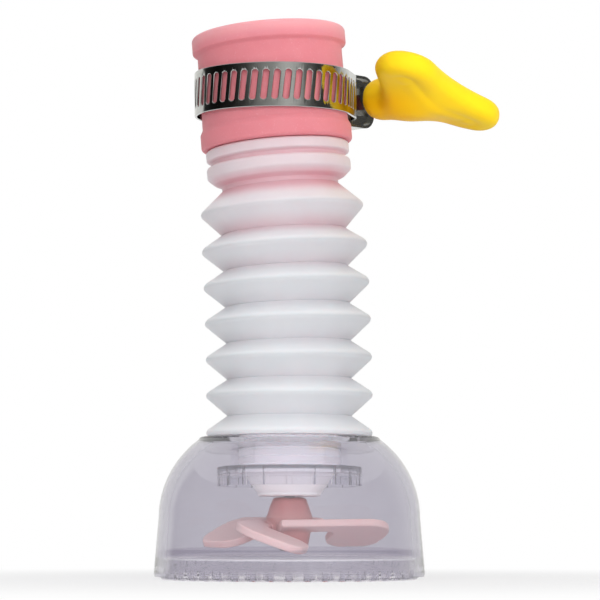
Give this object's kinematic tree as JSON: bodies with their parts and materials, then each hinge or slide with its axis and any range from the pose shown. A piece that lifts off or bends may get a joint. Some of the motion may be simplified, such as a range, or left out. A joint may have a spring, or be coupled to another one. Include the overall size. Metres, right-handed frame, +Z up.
{
  "type": "tap extender",
  "caption": "Flexible tap extender: rubber inlet sleeve with a worm-drive clamp and wing key, bellows neck, clear splash dome with a spinning fan.",
  "frame": {"origin": "centre of the spray plate's flat underside, on the dome's axis", "axes": "+Z up along the dome's axis, -Y towards the viewer of the picture, +X to the side of the key"},
  "size_m": [0.071, 0.0548, 0.1128],
  "materials": {
    "clear_shell": "clear moulded plastic, glossy",
    "bellows": "satin white, slightly translucent",
    "white_cup": "glossy white",
    "pin_steel": "bright drawn",
    "fan_pink": "glossy, slightly translucent",
    "pink_rubber": "soft satin",
    "band_steel": "bright rolled stainless",
    "worm_steel": "zinc plated",
    "key_yellow": "glossy moulded"
  },
  "bodies": {
    "head": {"bellows_foot": "bellows", "dome": "clear_shell", "lock_ring": "clear_shell", "nozzle_cup": "white_cup", "fan_axle": "pin_steel", "spray_plate": "clear_shell"},
    "rotor": {"fan": "fan_pink"},
    "ring_6_lower": {"pleat_6_lower": "bellows"},
    "ring_6_upper": {"pleat_6_upper": "bellows"},
    "ring_5_lower": {"pleat_5_lower": "bellows"},
    "ring_5_upper": {"pleat_5_upper": "bellows"},
    "ring_4_lower": {"pleat_4_lower": "bellows"},
    "ring_4_upper": {"pleat_4_upper": "bellows"},
    "ring_3_lower": {"pleat_3_lower": "bellows"},
    "ring_3_upper": {"pleat_3_upper": "bellows"},
    "ring_2_lower": {"pleat_2_lower": "bellows"},
    "ring_2_upper": {"pleat_2_upper": "bellows"},
    "ring_1_lower": {"pleat_1_lower": "bellows"},
    "ring_1_upper": {"pleat_1_upper": "bellows", "bellows_collar": "bellows"},
    "inlet": {"inlet_sleeve": "pink_rubber", "clamp_band": "band_steel", "clamp_saddle": "band_steel", "clamp_housing": "band_steel"},
    "worm": {"worm_screw": "worm_steel", "thumb_key": "key_yellow"},
    "tail": {"band_tail": "band_steel"}
  },
  "joints": [
    {"name": "fan_spin", "type": "hinge", "parent": "head", "child": "rotor", "pos_m": [0, 0, 0.0064], "axis": [0, 0, 1], "continuous": true},
    {"name": "stretch_6", "type": "slide", "parent": "head", "child": "ring_6_lower", "axis": [-0.0036, 0, 1], "range_m": [-0.0018, 0.0025], "deforming": ["pleat_6_lower"]},
    {"name": "bend_6", "type": "hinge", "parent": "ring_6_lower", "child": "ring_6_upper", "pos_m": [-0.00003, 0, 0.03881], "axis": [0, 1, 0], "range_deg": [-7.5, 7.5], "deforming": ["pleat_6_upper"]},
    {"name": "stretch_5", "type": "slide", "parent": "ring_6_upper", "child": "ring_5_lower", "axis": [-0.0165, 0, 0.9999], "range_m": [-0.0018, 0.0025], "deforming": ["pleat_5_lower"]},
    {"name": "bend_5", "type": "hinge", "parent": "ring_5_lower", "child": "ring_5_upper", "pos_m": [-0.00015, 0, 0.04633], "axis": [0, 1, 0], "range_deg": [-7.5, 7.5], "deforming": ["pleat_5_upper"]},
    {"name": "stretch_4", "type": "slide", "parent": "ring_5_upper", "child": "ring_4_lower", "axis": [-0.0294, 0, 0.9996], "range_m": [-0.0018, 0.0025], "deforming": ["pleat_4_lower"]},
    {"name": "bend_4", "type": "hinge", "parent": "ring_4_lower", "child": "ring_4_upper", "pos_m": [-0.00038, 0, 0.05385], "axis": [0, 1, 0], "range_deg": [-7.5, 7.5], "deforming": ["pleat_4_upper"]},
    {"name": "stretch_3", "type": "slide", "parent": "ring_4_upper", "child": "ring_3_lower", "axis": [-0.0423, 0, 0.9991], "range_m": [-0.0018, 0.0025], "deforming": ["pleat_3_lower"]},
    {"name": "bend_3", "type": "hinge", "parent": "ring_3_lower", "child": "ring_3_upper", "pos_m": [-0.00069, 0, 0.06136], "axis": [0, 1, 0], "range_deg": [-7.5, 7.5], "deforming": ["pleat_3_upper"]},
    {"name": "stretch_2", "type": "slide", "parent": "ring_3_upper", "child": "ring_2_lower", "axis": [-0.0552, 0, 0.9985], "range_m": [-0.0018, 0.0025], "deforming": ["pleat_2_lower"]},
    {"name": "bend_2", "type": "hinge", "parent": "ring_2_lower", "child": "ring_2_upper", "pos_m": [-0.00111, 0, 0.06887], "axis": [0, 1, 0], "range_deg": [-7.5, 7.5], "deforming": ["pleat_2_upper"]},
    {"name": "stretch_1", "type": "slide", "parent": "ring_2_upper", "child": "ring_1_lower", "axis": [-0.0684, 0, 0.9977], "range_m": [-0.0018, 0.0025], "deforming": ["pleat_1_lower"]},
    {"name": "bend_1", "type": "hinge", "parent": "ring_1_lower", "child": "ring_1_upper", "pos_m": [-0.00169, 0, 0.07733], "axis": [0, 1, 0], "range_deg": [-7.5, 7.5], "deforming": ["pleat_1_upper"]},
    {"name": "sleeve_swivel", "type": "hinge", "parent": "ring_1_upper", "child": "inlet", "pos_m": [-0.00188, 0, 0.07965], "axis": [-0.0802, 0, 0.9968], "continuous": true},
    {"name": "worm_spin", "type": "hinge", "parent": "inlet", "child": "worm", "pos_m": [0.01023, 0.01515, 0.0994], "axis": [-0.7431, 0.6691, 0.011], "range_deg": [0, 1080]},
    {"name": "tail_feed", "type": "slide", "parent": "inlet", "child": "tail", "axis": [-0.7431, 0.6691, 0.011], "range_m": [0, 0.00669]}
  ],
  "couplings": [
    {"joint": "stretch_5", "follows": "stretch_6", "ratio": 1},
    {"joint": "bend_5", "follows": "bend_6", "ratio": 1},
    {"joint": "stretch_4", "follows": "stretch_6", "ratio": 1},
    {"joint": "bend_4", "follows": "bend_6", "ratio": 1},
    {"joint": "stretch_3", "follows": "stretch_6", "ratio": 1},
    {"joint": "bend_3", "follows": "bend_6", "ratio": 1},
    {"joint": "stretch_2", "follows": "stretch_6", "ratio": 1},
    {"joint": "bend_2", "follows": "bend_6", "ratio": 1},
    {"joint": "stretch_1", "follows": "stretch_6", "ratio": 1},
    {"joint": "bend_1", "follows": "bend_6", "ratio": 1},
    {"joint": "tail_feed", "follows": "worm_spin", "m_per_rad": 0.00035492}
  ]
}
